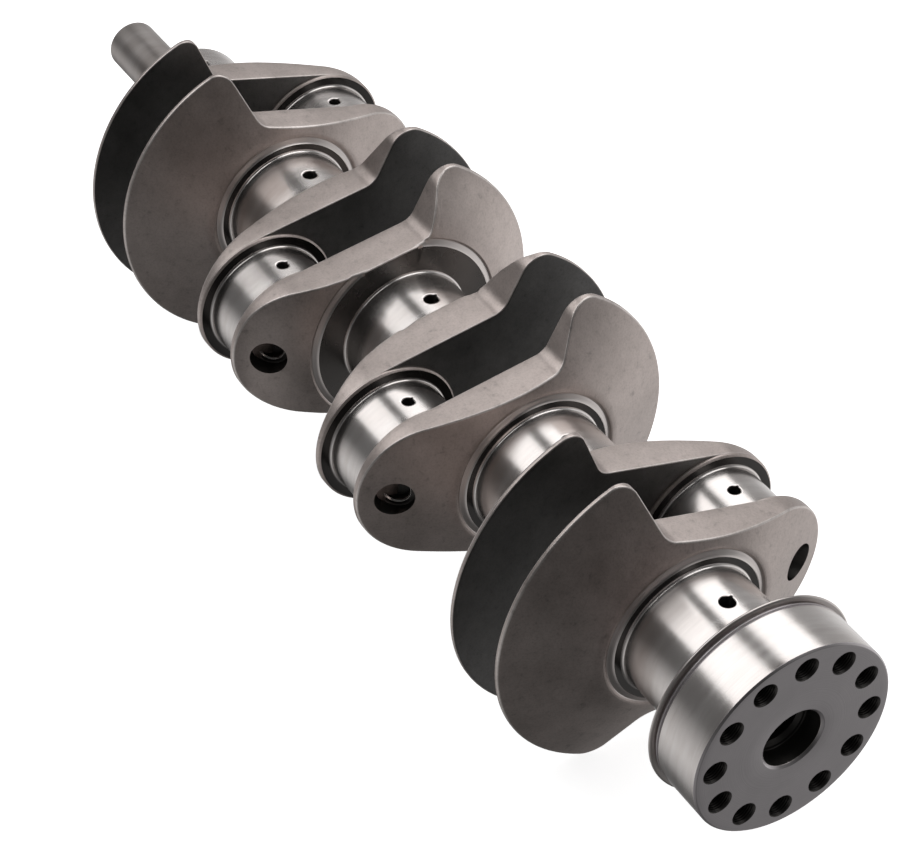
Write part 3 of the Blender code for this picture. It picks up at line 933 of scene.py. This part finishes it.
def build_nose():
    """The pulley nose, with its bolt hole and the slot of the half-moon key."""
    end = MAINS[0] - NOSE_FACE - NOSE_X
    profile = rounded(
        [
            (end + 2.0, 0.0, 0.0),
            (end + 2.0, 12.0, 0.0),
            (end - 0.2, 12.0, 0.0),
            (end - 1.6, 12.0, 0.2),
            (end - 1.8, 11.7, 0.2),
            (end - 3.2, 11.7, 0.2),
            (end - 3.4, 12.0, 0.2),
            (1.2, 12.0, 0.3),
            (0.0, 10.8, 0.25),
            (0.0, 6.3, 0.2),
            (1.2, 5.1, 0.2),
            (28.0, 5.1, 0.2),
            (31.0, 0.0, 0.0),
        ]
    )
    points, faces = turned(profile, 144)
    origin = (NOSE_X, 0.0, 0.0)
    points = points + np.array(origin)
    obj = make_object("nose_turned", points, faces, [NOSE_STEEL], None, origin)
    key_place = np.array([middle_mm("woodruff_key")[0], 0.0, KEY_Z])
    slot_profile = [(-2.15, 0.0), (-2.15, 8.15), (2.15, 8.15), (2.15, 0.0)]
    points, faces = turned(slot_profile, 96)
    cut(obj, [make_object("keyway", across_shaft(points) + key_place, faces, [BORE])])
    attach(obj, "root")
    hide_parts("nose")
    key_profile = rounded(
        [(-2.0, 0.0, 0.0), (-2.0, 8.0, 0.35), (2.0, 8.0, 0.35), (2.0, 0.0, 0.0)]
    )
    points, faces = turned(key_profile, 128)
    points = across_shaft(points)
    points[:, 2] = np.maximum(points[:, 2], KEY_FLAT)
    key = make_object("woodruff_key_ground", points + key_place, faces, [KEY])
    weld(key)
    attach(key, "root")
    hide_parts("woodruff_key")


def build_plugs():
    """Screwed plugs with a bright chamfered rim round a round socket, whose dark steel is painted
    shade.
    """
    top = MOUTH - 5.4
    profile = rounded(
        [
            (top - 7.0, 0.0, 0.0),
            (top - 7.0, 5.5, 0.3),
            (top - 0.4, 5.8, 0.12),
            (top, 5.65, 0.1),
            (top, 5.5, 0.1),
            (top - 0.55, 5.0, 0.1),
            (top - 4.0, 4.95, 0.2),
            (top - 4.0, 0.0, 0.0),
        ]
    )
    points, faces = turned(profile, 96)
    finishes = []
    for face in faces:
        x, r = face_place(points, face)
        # The socket below the chamfer is dark steel: painted shade
        finishes.append(BORE if x < top - 0.55 and r < 5.1 else PLUG)
    for throw in range(len(PINS)):
        name = f"gallery_plug_{throw + 1}_turned"
        obj = drilled(name, points, faces, throw, [PLUG, BORE], finishes)
        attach(obj, "root")
        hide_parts(f"gallery_plug_{throw + 1}")


# Stage


# Metres
FLOOR_HALF = 6.0
DOME_RADIUS = 9.0


def build_floor():
    half = FLOOR_HALF
    mesh = bpy.data.meshes.new("floor")
    corners = [(-half, -half, 0.0), (half, -half, 0.0), (half, half, 0.0), (-half, half, 0.0)]
    mesh.from_pydata(corners, [], [(0, 1, 2, 3)])
    mesh.materials.append(floor_material())
    floor = bpy.data.objects.new("floor", mesh)
    floor.location.z = cad_box[0][2]
    floor.visible_diffuse = False
    floor.visible_glossy = False
    link(floor)


def build_backdrop():
    """A pale dome behind everything, which only the camera sees."""
    mesh = bpy.data.meshes.new("backdrop")
    dome = bmesh.new()
    bmesh.ops.create_uvsphere(dome, u_segments=48, v_segments=24, radius=DOME_RADIUS)
    dome.to_mesh(mesh)
    dome.free()
    mesh.materials.append(backdrop_material())
    backdrop = bpy.data.objects.new("backdrop", mesh)
    backdrop.visible_diffuse = False
    backdrop.visible_glossy = False
    backdrop.visible_transmission = False
    backdrop.visible_shadow = False
    link(backdrop)


# The room, as brightness by the angle in degrees about the X axis, from +Y towards +Z: a pale table
# on both sides, the shaft's own dark shadow below it, and a dim ceiling
ROOM = [
    (-180, 0.13), (-155, 0.55), (-135, 0.72), (-115, 0.5), (-97, 0.14), (-75, 0.12), (-45, 0.9),
    (-25, 0.78), (0, 0.45), (40, 0.28), (90, 0.13), (180, 0.13),
]
ALONG = [(-1.0, 1.0), (0.0, 0.9), (0.6, 0.42), (1.0, 0.12)]  # the room darkens past the flange


def build_world():
    world = bpy.data.worlds.new("studio")
    bpy.context.scene.world = world
    world.use_nodes = True
    tree = world.node_tree
    background = tree.nodes["Background"]
    coords = tree.nodes.new("ShaderNodeTexCoord")
    split = tree.nodes.new("ShaderNodeSeparateXYZ")
    tree.links.new(coords.outputs["Generated"], split.inputs["Vector"])
    angle = tree.nodes.new("ShaderNodeMath")
    angle.operation = "ARCTAN2"
    tree.links.new(split.outputs["Z"], angle.inputs[0])
    tree.links.new(split.outputs["Y"], angle.inputs[1])

    def curve(value, low, high, stops):
        """Brightness along a value that runs from low to high, by stops on a scale of their own."""
        scaled = tree.nodes.new("ShaderNodeMapRange")
        scaled.inputs["From Min"].default_value = low
        scaled.inputs["From Max"].default_value = high
        tree.links.new(value, scaled.inputs["Value"])
        first, span = stops[0][0], stops[-1][0] - stops[0][0]
        shares = [((at - first) / span, grey(level)) for at, level in stops]
        return ramp(tree, scaled.outputs["Result"], shares)

    across = curve(angle.outputs["Value"], -math.pi, math.pi, ROOM)
    along = curve(split.outputs["X"], -1.0, 1.0, ALONG)
    tree.links.new(mix(tree, "MULTIPLY", across, along, 1.0), background.inputs["Color"])


def area_light(name, width, length, radiance):
    data = bpy.data.lights.new(name, "AREA")
    data.shape = "RECTANGLE"
    data.size = width
    data.size_y = length
    data.energy = radiance * math.pi * width * length
    light = bpy.data.objects.new(name, data)
    light.visible_camera = False
    link(light)
    return light


def softbox(name, angle, half_angle, x_range, radiance):
    """A long soft box a metre from the X axis, at this angle about it in degrees, facing it."""
    width = 2 * math.tan(math.radians(half_angle))
    light = area_light(name, width, x_range[1] - x_range[0], radiance)
    a = math.radians(angle)
    out = (0.0, math.cos(a), math.sin(a))
    side = (0.0, -math.sin(a), math.cos(a))
    place = ((x_range[0] + x_range[1]) / 2, out[1], out[2])
    # Columns: local X across the box, local Y along the shaft, local Z away from it
    columns = [side, (1.0, 0.0, 0.0), out]
    rows = [[column[i] for column in columns] + [place[i]] for i in range(3)]
    light.matrix_world = Matrix([*rows, (0.0, 0.0, 0.0, 1.0)])


def front_box(name, place, size, radiance):
    """A small square soft box facing the middle of the shaft."""
    light = area_light(name, size, size, radiance)
    light.location = place
    light.rotation_euler = Vector(place).to_track_quat("Z", "Y").to_euler()


def build_lights():
    softbox("key_right", 60.5, 21.0, (-1.0, 0.5), 1.4)
    softbox("key_left", 120.5, 23.5, (-1.0, 0.1), 1.4)
    softbox("side_panel", -5.0, 25.0, (-0.2, 0.8), 0.45)
    front_box("front_box", (1.1, 0.6, 1.15), 0.6, 0.5)


def build_camera():
    data = bpy.data.cameras.new("camera")
    camera = bpy.data.objects.new("camera", data)
    link(camera)
    bpy.context.scene.camera = camera
    data.lens = 103.08
    data.sensor_width = 36.0
    data.shift_x = 0.0032
    data.shift_y = -0.008
    data.clip_end = 50.0
    camera.location = np.array([REAR_X + 459.52, -459.37, 637.60]) * MM
    camera.rotation_euler = np.radians([51.5154, -3.0771, 58.8736])


build_journals()
build_webs()
build_flange()
build_nose()
build_plugs()
build_floor()
build_backdrop()
build_world()
build_lights()
build_camera()
bpy.context.scene.view_settings.view_transform = "Standard"
